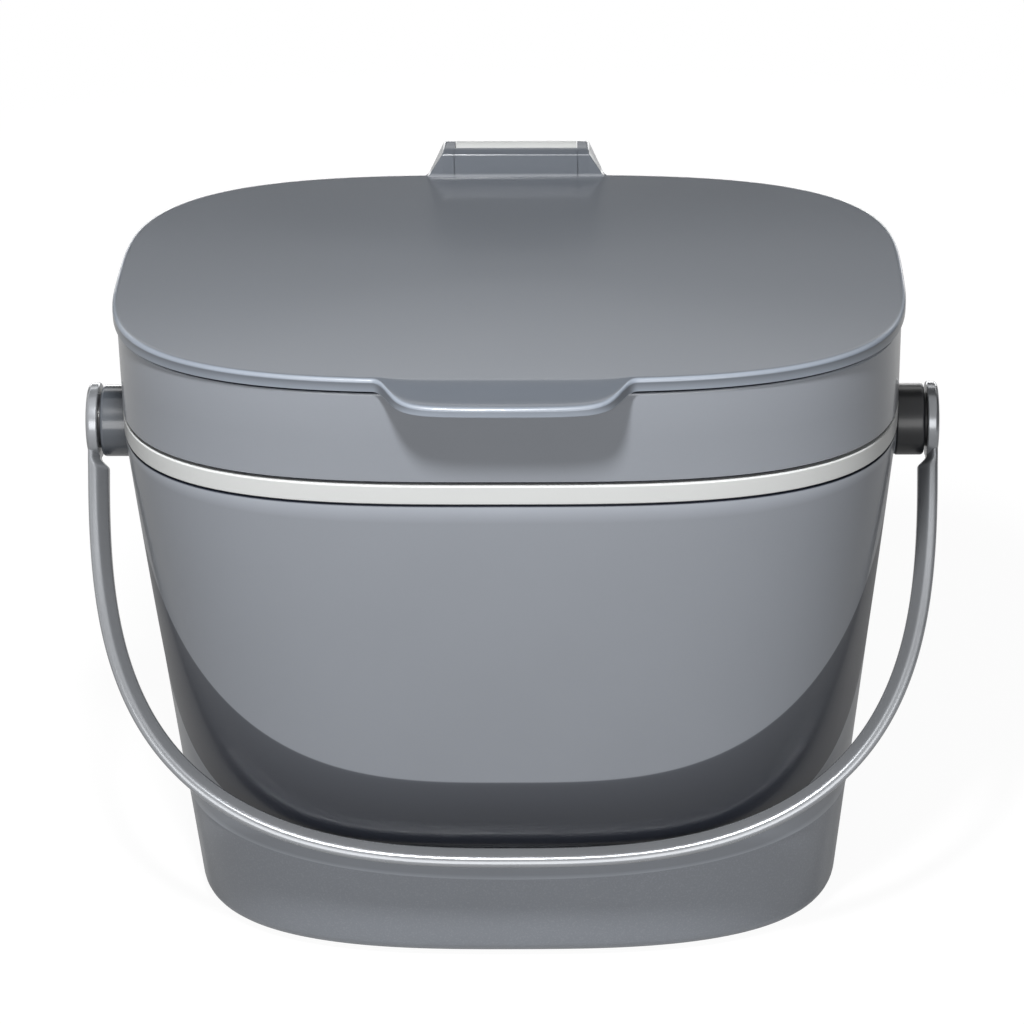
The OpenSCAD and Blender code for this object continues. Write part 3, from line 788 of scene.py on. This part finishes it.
# %% Ears and front wall
barrel_r = 5.0
housing_sink = 0.9
ear_start = rim_half_d - 1.0
bracket_high = box_mm("hinge_bracket")[1]
pin_low, pin_high = box_mm("hinge_pin")
pin_y = (pin_low[1] + pin_high[1]) / 2 - middle_y
pin_z = (pin_low[2] + pin_high[2]) / 2
ear_x = bracket_high[0] + 0.3
crown_x = 25.6
foot_x = 31.2
housing_full = pin_z + barrel_r - lid_top
front_y = pin_y - barrel_r - 0.3 - 2.6

front_wall = rounded(
    [
        (front_y - 1.6, lid_top - housing_sink),
        (front_y - 0.3, lid_top + 0.3),
        (front_y - 0.1, pin_z + 3.4),
        (pin_y - 4.4, pin_z + 4.4),
        (pin_y - 2.0, pin_z + barrel_r - 0.4),
    ],
    [0, 1.1, 0.5, 1.1, 0],
)


def ear_section():
    """Side view of an ear as (y, z): the front wall, then the round back over the pin."""
    arc = []
    for i in range(15):
        a = math.radians(100 - 190 * i / 14)
        arc.append((pin_y + barrel_r * math.cos(a), pin_z + barrel_r * math.sin(a)))
    foot = [(pin_y - 1.6, pin_z - barrel_r + 0.05), (ear_start, lid_top - housing_sink)]
    return front_wall + arc + foot


flank = rounded(
    [
        (crown_x - 2.4, housing_full + 0.01),
        (crown_x - 0.2, housing_full - 0.1),
        (foot_x - 0.2, 0.5),
        (foot_x + 1.6, -0.3),
    ],
    1.5,
    6,
)
section = ear_section()


def ear_slice(x, height):
    """One side view of the ear; the lower its top, the less it stands out behind the lid's rim."""
    share = min(max(height / housing_full, 0.02), 1.0) ** 0.6
    row = []
    for y, z in section:
        drawn_in = y if y < ear_start else ear_start + (y - ear_start) * share
        row.append((x, drawn_in, min(z, lid_top + height)))
    return row


ear_steps = [(ear_x, housing_full + 0.01), (ear_x + 0.4, housing_full + 0.01)] + flank
for side in (-1, 1):
    slices = [ear_slice(side * x, height) for x, height in ear_steps]
    if side < 0:
        slices.reverse()
    skin(mesh, slices)

wall_section = [point for point in front_wall if point[0] < pin_y - 5.0]
wall_section += [(pin_y - 4.3, pin_z + 4.35), (pin_y - 3.9, pin_z + 4.3), (pin_y - 3.6, pin_z + 4.05)]
wall_section += [(pin_y - 4.9, pin_z + 2.2), (pin_y - 5.35, pin_z), (front_y + 2.9, lid_top - housing_sink)]
skin(mesh, [[(x, y, z) for y, z in wall_section] for x in (-ear_x - 0.4, 0.0, ear_x + 0.4)])
bmesh.ops.recalc_face_normals(mesh, faces=mesh.faces)
housing_start = (front_y - 4.0 + middle_y) * MM
finished(
    mesh,
    "lid_skin",
    "lid",
    ["lid_cover"],
    charcoal_lid_painted_shade,
    worn_and_highlit=lambda spot: spot.y < housing_start,
)

# %% [markdown]
# ## Under the lid
# A pale liner closes the lid from below. It has a stepped skirt with a soft seal round it, and four
# small screws hold it to the cover.

# %% Liner and seals
liner_low, liner_high = box_mm("lid_liner")
seal_low, seal_high = box_mm("lid_seal")
seal_gap = 0.3
seal_w = 1.4
liner_t = 2.2
skirt_out = spigot_in + seal_gap + seal_w
skirt_in = skirt_out + 9
liner_base = liner_low[2]
liner_top = liner_high[2]
liner_profile = rounded(
    [
        (skirt_in, liner_base),
        (skirt_out + 4, liner_base + 0.4),
        (skirt_out + 1, liner_base + 1.6),
        (skirt_out, liner_base + 3.4),
        (skirt_out, lid_low),
        (2.0, lid_low),
        (2.0, liner_top),
        (skirt_out + 2, liner_top),
        (skirt_out + 2, liner_base + 4.0),
        (skirt_out + 4, liner_base + 2.6),
        (skirt_in, liner_base + liner_t),
    ],
    [0, 1.5, 0.8, 0.8, 0.4, 0.3, 0.3, 0.4, 0.8, 0.8, 0],
)


def liner_middle(z):
    hw, hd = rim_half_w - skirt_in, rim_half_d - skirt_in
    return [outline(hw * s, hd * s, rim_square, z) for s in (0.3, 0.6, 0.85)]


mesh = bmesh.new()
rows = liner_middle(liner_base) + [rim_ring(inset, z) for inset, z in liner_profile]
skin(mesh, rows + liner_middle(liner_base + liner_t)[::-1])
finished(mesh, "lid_liner_skin", "lid", ["lid_liner"], pale_satin)

mesh = bmesh.new()
seal_mid = (seal_low[2] + seal_high[2]) / 2
seal_half = (seal_high[2] - seal_low[2]) / 2
seal_rows = []
for i in range(9):
    a = math.pi * (i / 8 - 0.5)
    inset = spigot_in + seal_gap + 0.6 * (1 - math.cos(a))
    seal_rows.append(rim_ring(inset, seal_mid + seal_half * math.sin(a)))
seal_rows += [rim_ring(skirt_out - 0.1, seal_high[2]), rim_ring(skirt_out - 0.1, seal_low[2])]
skin(mesh, seal_rows, loop=True)
finished(mesh, "lid_seal_lip", "lid", ["lid_seal"], soft_rubber)

mesh = bmesh.new()
gasket_low, gasket_high = box_mm("collar_seal")
gasket = rounded(
    [
        (4.0, gasket_low[2]),
        (3.4, gasket_low[2]),
        (3.4, gasket_high[2]),
        (spigot_out - 0.1, gasket_high[2]),
        (spigot_out - 0.1, gasket_low[2]),
        (4.0, gasket_low[2]),
    ],
    [0, 0.3, 0.3, 0.3, 0.3, 0],
)
skin(mesh, [rim_ring(inset, z) for inset, z in gasket[:-1]], loop=True)
finished(mesh, "collar_seal_ring", "lid_frame", ["collar_seal"], soft_rubber)

# %% [markdown]
# ## The bail
# The bail is the piece whose shape follows one rule: its outer line is a superellipse, and one
# rounded section rides along it, thin at the round ends and thicker past a 45 degree shoulder.
# Geometry Nodes suit that. A flat grid has one direction along the bail and the other round its
# section, and a formula on the grid's two coordinates moves every point to its place.

# %% Bail sizes
bail_half_w = box_mm("bail")[1][0]
bail_t = 6.7
eye_t = 3.9
eye_r = 13.1
bail_depth = 10.0
arm_depth = 15.0
bail_along = 2.73
bail_down = 3.27
even_power = 1.6
grip_square = 15.0
grip_share = 0.45
shoulder_low = eye_r + 0.6
recess_r = 7.5
pivot_back = pivot.y - middle_y
rest_z = undercut_low - 2
rest_y = half_d(rest_z) + 0.3 + bail_depth * 0.43 + pivot_back
bail_drop = math.hypot(rest_y, pivot.z - rest_z) + bail_t / 2
rest_angle = math.atan2(rest_y, pivot.z - rest_z)
first_turn = math.asin(((recess_r + 1.5) / bail_drop) ** (bail_down / 2))
first_step = (first_turn / (math.pi / 2)) ** (1 / even_power)
print("the bail leans", round(math.degrees(rest_angle), 1), "degrees from straight down")

# %% Bail tree
COLUMNS_ALONG = 560
COLUMNS_AROUND = 57
sweep = bpy.data.node_groups.new("bail_sweep", "GeometryNodeTree")
numbers = {
    "Half width": bail_half_w,
    "Drop": bail_drop,
    "Bar thickness": bail_t,
    "End thickness": eye_t,
    "Grip depth": bail_depth,
    "Arm depth": arm_depth,
    "Shoulder": shoulder_low,
    "First step": first_step,
    "Section squareness": grip_square,
    "Lean": rest_angle,
}
for title in numbers:
    sweep.interface.new_socket(name=title, in_out="INPUT", socket_type="NodeSocketFloat")
sweep.interface.new_socket(name="Finish", in_out="INPUT", socket_type="NodeSocketMaterial")
sweep.interface.new_socket(name="Geometry", in_out="OUTPUT", socket_type="NodeSocketGeometry")
inlet = sweep.nodes.new("NodeGroupInput")
size = {title: Num(sweep, inlet.outputs[title]) for title in numbers}

grid = add_node(
    sweep,
    "GeometryNodeMeshGrid",
    inputs={"Size X": 1.0, "Size Y": 1.0, "Vertices X": COLUMNS_ALONG + 1, "Vertices Y": COLUMNS_AROUND},
)
grid_place = add_node(sweep, "GeometryNodeInputPosition")
grid_spot = add_node(sweep, "ShaderNodeSeparateXYZ", inputs={0: grid_place.outputs[0]})
signed = Num(sweep, grid_spot.outputs[0]) * 2.0
apart = signed.math("ABSOLUTE")
turn = ((1.0 - apart) * (1.0 - size["First step"]) + size["First step"]) ** even_power * (math.pi / 2)
cosine = turn.math("COSINE").math("MAXIMUM", 0.0)
sine = turn.math("SINE")
across = cosine ** (2 / bail_along) * size["Half width"] * signed.math("SIGN")
down = sine ** (2 / bail_down) * size["Drop"]
print("path formulas ready")

# %% Section of the bail
out_x = cosine ** (2 - 2 / bail_along) * bail_along / size["Half width"]
out_v = sine ** (2 - 2 / bail_down) * bail_down / size["Drop"]
length = (out_x * out_x + out_v * out_v) ** 0.5
past = ((down - size["Shoulder"]) / (size["Bar thickness"] - size["End thickness"])).clamped()
thick = past * (size["Bar thickness"] - size["End thickness"]) + size["End thickness"]
ease = (down / (size["Drop"] * grip_share)).clamped()
ease = ease * ease * (3.0 - 2.0 * ease)
deep = ease * (size["Grip depth"] - size["Arm depth"]) + size["Arm depth"]
around = Num(sweep, grid_spot.outputs[1]) * (2 * math.pi)
lateral = around.math("COSINE")
fore = around.math("SINE")
fore_size = fore.math("ABSOLUTE")
power = size["Section squareness"]
bevel = (lateral * 0.595 + fore_size).math("MAXIMUM", 0.0)
corner = (fore_size * 0.61 - lateral * 0.488).math("MAXIMUM", 0.0)
gauge = lateral.math("ABSOLUTE") ** power + fore_size**power + bevel**power + corner**power
radius = gauge ** (-1.0 / power)
open_end = ((1.0 - apart) * (COLUMNS_ALONG / 2)).clamped()
inward = thick * (radius * lateral * open_end + 1.0) * 0.5
sideways = deep * radius * fore * open_end * 0.5
bar_x = across - out_x / length * inward * signed.math("SIGN")
bar_z = out_v / length * inward - down
print("section formulas ready")

# %% Bail from the tree
bar_spot = add_node(sweep, "ShaderNodeCombineXYZ", inputs={0: bar_x * MM, 1: sideways * MM, 2: bar_z * MM})
moved = add_node(
    sweep,
    "GeometryNodeSetPosition",
    inputs={"Geometry": grid.outputs["Mesh"], "Position": bar_spot.outputs[0]},
)
lean = add_node(sweep, "ShaderNodeCombineXYZ", inputs={0: -size["Lean"]})
leaned = add_node(
    sweep, "GeometryNodeTransform", inputs={"Geometry": moved.outputs[0], "Rotation": lean.outputs[0]}
)
hung = add_node(
    sweep,
    "GeometryNodeTransform",
    inputs={"Geometry": leaned.outputs[0], "Translation": (0.0, pivot.y * MM, pivot.z * MM)},
)
merged = add_node(
    sweep, "GeometryNodeMergeByDistance", inputs={"Geometry": hung.outputs[0], "Distance": 1e-6}
)
real = add_node(sweep, "GeometryNodeRealizeInstances", inputs={"Geometry": merged.outputs[0]})
dressed = add_node(
    sweep,
    "GeometryNodeSetMaterial",
    inputs={"Geometry": real.outputs[0], "Material": inlet.outputs["Finish"]},
)
outlet = sweep.nodes.new("NodeGroupOutput")
sweep.links.new(dressed.outputs[0], outlet.inputs[0])

carrier = bpy.data.objects.new("bail_carrier", bpy.data.meshes.new("bail_carrier"))
bpy.context.scene.collection.objects.link(carrier)
follow = carrier.modifiers.new("Bail sweep", "NODES")
follow.node_group = sweep
identifiers = {item.name: item.identifier for item in sweep.interface.items_tree if item.in_out == "INPUT"}
for title, value in numbers.items():
    follow[identifiers[title]] = value
follow[identifiers["Finish"]] = bail_grey
bpy.context.view_layer.update()
swept = bpy.data.meshes.new_from_object(carrier.evaluated_get(bpy.context.evaluated_depsgraph_get()))
carrier.modifiers.remove(follow)
bpy.data.objects.remove(carrier)
print("bail sweep:", len(swept.vertices), "points")

# %% Bail ends
mesh = bmesh.new()
mesh.from_mesh(swept)
eye_x = bail_half_w - eye_t
eye_profile = [
    (recess_r, 0.0),
    (eye_r - 0.3, 0.0),
    (eye_r, 0.3),
    (eye_r, eye_t - 1.4),
    (eye_r - 0.15, eye_t - 0.9),
    (eye_r - 0.6, eye_t - 0.35),
    (eye_r - 1.3, eye_t - 0.02),
    (recess_r, eye_t - 0.02),
]
for side in (-1, 1):
    profile = [(r, side * (eye_x + along)) for r, along in eye_profile]
    lathe(mesh, profile, "x", (0, pivot.y, pivot.z), 96)
bmesh.ops.recalc_face_normals(mesh, faces=mesh.faces)
finished(mesh, "bail_bar", "handle", ["bail"], bail_grey)

# %% [markdown]
# ## Hubs and caps
# Two dark hubs stand between the shell and the bail's round ends, and a dished cap closes each pivot. The
# right hub is near black, which is painted shade. They are turned parts, so one profile lathed round the
# pivot makes each of them smooth.

# %% Hub and cap meshes
hub_l = 10.0
hub_bore = 3.0
hub_end = hub_start + hub_l
hub_profile = rounded(
    [
        (hub_bore, hub_start + 0.1),
        (hub_r, hub_start + 0.1),
        (hub_r, hub_end),
        (hub_bore, hub_end),
    ],
    [0, 0.7, 1.2, 0],
)
cap_r = 7.4
dish_r = 4.4
dish_depth = 0.42
core_r = 0.05
dish = [(dish_r - dish_r * i / 6, -dish_depth * math.sin(math.pi / 2 * i / 6)) for i in range(7)]
cap_profile = [(cap_r, -0.7), (cap_r, -0.25), (cap_r - 0.25, 0.0), (dish_r + 0.3, 0.0)]
cap_profile += [(max(r, core_r), d) for r, d in dish]
# The right hub is drawn in the near-black copy, which is painted shade.
for title, side, tone in (("left", -1, hub_charcoal), ("right", 1, hub_painted_shade)):
    mesh = bmesh.new()
    lathe(mesh, [(r, side * x) for r, x in hub_profile], "x", (0, pivot.y, pivot.z), 128)
    bmesh.ops.recalc_face_normals(mesh, faces=mesh.faces)
    finished(mesh, title + "_hub_drum", "bin", [title + "_hub"], tone)
    mesh = bmesh.new()
    lathe(mesh, [(r, side * (bail_half_w + x)) for r, x in cap_profile], "x", (0, pivot.y, pivot.z), 96)
    bmesh.ops.recalc_face_normals(mesh, faces=mesh.faces)
    finished(mesh, title + "_cap_disc", "handle", [title + "_cap"], hub_charcoal)

# %% [markdown]
# ## Finishes for the pieces that keep their own shape
# Screws, pins, feet and the hinge bracket come straight from the construction. They only need their
# finish.

# %% Dress the construction's pieces
dressing = {
    "pivot_screws": bright_steel,
    "pivot_nuts": bright_steel,
    "pivot_washers": dark_nylon,
    "rubber_feet": soft_rubber,
    "hinge_bracket": pale_satin,
    "hinge_pin": bright_steel,
    "bracket_screws": bright_steel,
    "liner_screws": bright_steel,
}
for node, material in dressing.items():
    data = frame["nodes"][node].data
    data.materials.clear()
    data.materials.append(material)
print("dressed:", len(dressing))

# %% [markdown]
# ## Floor, light and camera
# The caddy stands on a white floor that glows to the camera and, less, to reflections. One fairly
# small lamp high in front throws the lip's shadow on the collar, and broad ones fill the front and
# the back. Cards that only reflections see shape the gloss: one behind the lid that brightens
# upwards, a dark one above and a dark one on the right.

# %% Light levels
AMBIENT = 0.10
GLOSS_LEVEL = 0.8
FLOOR_BOUNCE = 0.35
FLOOR_GLOSS = 0.24
FLOOR_FAR_GLOSS = 0.60
KEY = 4.6
FILL = 7.7
REAR_FILL = 6.0
NEAR_GLOW = 0.31
NEAR_SEEN = 0.72
REAR_CARD = 2.5
CARD_FLOOR = 0.03
print("levels set")

# %% Floor and surround
floor_material = bpy.data.materials.new("studio_floor")
floor_material.use_nodes = True
tree = floor_material.node_tree
floor_shader = tree.nodes["Principled BSDF"]
floor_shader.inputs["Base Color"].default_value = (FLOOR_BOUNCE, FLOOR_BOUNCE, FLOOR_BOUNCE, 1)
floor_shader.inputs["Roughness"].default_value = 0.9
floor_shader.inputs["Specular IOR Level"].default_value = 0.1
output = tree.nodes["Material Output"]
ray = add_node(tree, "ShaderNodeLightPath")
floor_spot = add_node(tree, "ShaderNodeTexCoord").outputs["Object"]
distance = add_node(tree, "ShaderNodeVectorMath", {"operation": "LENGTH"}, {0: floor_spot})
distance = Num(tree, distance.outputs["Value"])
away = ((distance - 0.3) / 0.5).clamped()
strength = (1.0 + NEAR_GLOW) - away * NEAR_GLOW
glow = add_node(tree, "ShaderNodeEmission", inputs={"Color": (1, 1, 1, 1), "Strength": strength})
beyond = ((distance - 0.40) / 0.22).clamped()
floor_gloss = beyond * (FLOOR_FAR_GLOSS - FLOOR_GLOSS) + FLOOR_GLOSS
seen = Num(tree, ray.outputs["Is Camera Ray"]) * (away * (1.0 - NEAR_SEEN) + NEAR_SEEN)
seen = seen + Num(tree, ray.outputs["Is Glossy Ray"]) * floor_gloss
blend = add_node(tree, "ShaderNodeMixShader", inputs={0: seen})
tree.links.new(floor_shader.outputs[0], blend.inputs[1])
tree.links.new(glow.outputs[0], blend.inputs[2])
tree.links.new(blend.outputs[0], output.inputs["Surface"])


def sheet(name, corners, material):
    """One flat quadrilateral of the studio, from its corners in metres."""
    mesh = bmesh.new()
    mesh.faces.new([mesh.verts.new(c) for c in corners])
    data = bpy.data.meshes.new(name)
    mesh.to_mesh(data)
    mesh.free()
    piece = bpy.data.objects.new(name, data)
    bpy.context.scene.collection.objects.link(piece)
    data.materials.append(material)
    return piece


sheet("studio_floor", [(-4, -4, 0), (4, -4, 0), (4, 4, 0), (-4, 4, 0)], floor_material)

world = bpy.data.worlds.new("studio")
bpy.context.scene.world = world
world.use_nodes = True
tree = world.node_tree
background = tree.nodes["Background"]
ray = add_node(tree, "ShaderNodeLightPath")
through = Num(tree, ray.outputs["Is Transmission Ray"])
direct = Num(tree, ray.outputs["Is Camera Ray"]).math("MAXIMUM", through)
glossy = Num(tree, ray.outputs["Is Glossy Ray"])
level = AMBIENT + direct * (1.0 - AMBIENT) + glossy * (GLOSS_LEVEL - AMBIENT)
background.inputs["Color"].default_value = (1, 1, 1, 1)
tree.links.new(level.socket, background.inputs["Strength"])
print("surround level:", AMBIENT)

# %% Lamps


def lamp(name, kind, energy, place, aim, **settings):
    data = bpy.data.lights.new(name, kind)
    data.energy = energy
    for key, value in settings.items():
        setattr(data, key, value)
    lamp_object = bpy.data.objects.new(name, data)
    bpy.context.scene.collection.objects.link(lamp_object)
    lamp_object.location = place
    lamp_object.rotation_mode = "QUATERNION"
    lamp_object.rotation_quaternion = (Vector(aim) - Vector(place)).to_track_quat("-Z", "Y")


lamp("key", "AREA", KEY, (-0.065, -0.36, 0.70), (0, -0.098, 0.237), shape="DISK", size=0.08)
lamp("front_fill", "AREA", FILL, (0, -1.3, 0.45), (0, 0, 0.1), shape="RECTANGLE", size=1.2, size_y=0.6)
lamp("rear_fill", "AREA", REAR_FILL, (0, 1.3, 0.2), (0, 0, 0.12), shape="RECTANGLE", size=1.6, size_y=0.3)

# %% Cards that only reflections see


def card(name, corners, strength, span=None):
    """A card of one strength, or one that brightens upwards over a span of heights."""
    level = strength
    material = bpy.data.materials.new(name)
    material.use_nodes = True
    tree = material.node_tree
    if span:
        place = add_node(tree, "ShaderNodeTexCoord").outputs["Object"]
        height = Num(tree, add_node(tree, "ShaderNodeSeparateXYZ", inputs={0: place}).outputs["Z"])
        level = ((height - span[0]) / (span[1] - span[0])).clamped() * strength + CARD_FLOOR
    emission = add_node(tree, "ShaderNodeEmission", inputs={"Color": (1, 1, 1, 1), "Strength": level})
    tree.links.new(emission.outputs[0], tree.nodes["Material Output"].inputs["Surface"])
    piece = sheet(name, corners, material)
    piece.visible_camera = False
    piece.visible_diffuse = False
    piece.visible_shadow = False


def standing(x0, x1, y, low, high):
    return [(x0, y, low), (x1, y, low), (x1, y, high), (x0, y, high)]


card("dark_card_right", [(0.75, -0.7, 0.0), (0.75, 0.5, 0.0), (0.75, 0.5, 0.7), (0.75, -0.7, 0.7)], 0.0)
card("graded_card_rear", standing(-1.6, 1.6, 1.6, 0.0, 1.65), REAR_CARD, (0.86, 1.42))
card("dark_card_above", [(-1.6, 0.3, 1.7), (1.6, 0.3, 1.7), (1.6, 1.7, 1.7), (-1.6, 1.7, 1.7)], 0.05)
print("cards set")

# %% Camera
camera_far = 1289.6
camera_rise = math.radians(28.0)
camera_turn = 0.0043
camera_x = 34.1
aim_z = 142.2
focal_px = 3691.0
shift_px = 114.3
image_px = 1024.0

data = bpy.data.cameras.new("camera")
data.sensor_width = 36.0
data.lens = focal_px * data.sensor_width / image_px
data.shift_x = -shift_px / image_px
data.clip_start = 0.05
data.clip_end = 20.0
camera = bpy.data.objects.new("camera", data)
bpy.context.scene.collection.objects.link(camera)
bpy.context.scene.camera = camera
back = camera_far * math.cos(camera_rise)
camera.location = Vector((camera_x, middle_y - back, aim_z + camera_far * math.sin(camera_rise))) * MM
level_x = math.sin(camera_turn) * math.cos(camera_rise)
level_y = math.cos(camera_turn) * math.cos(camera_rise)
camera.rotation_mode = "QUATERNION"
camera.rotation_quaternion = Vector((level_x, level_y, -math.sin(camera_rise))).to_track_quat("-Z", "Y")
scene = bpy.context.scene
scene.view_settings.view_transform = "Standard"
print("camera at", [round(v, 3) for v in camera.location])

# %% [markdown]
# ## The last cell
# The last cell brings the scene's view layer up to date.

# %% Finish
bpy.context.view_layer.update()
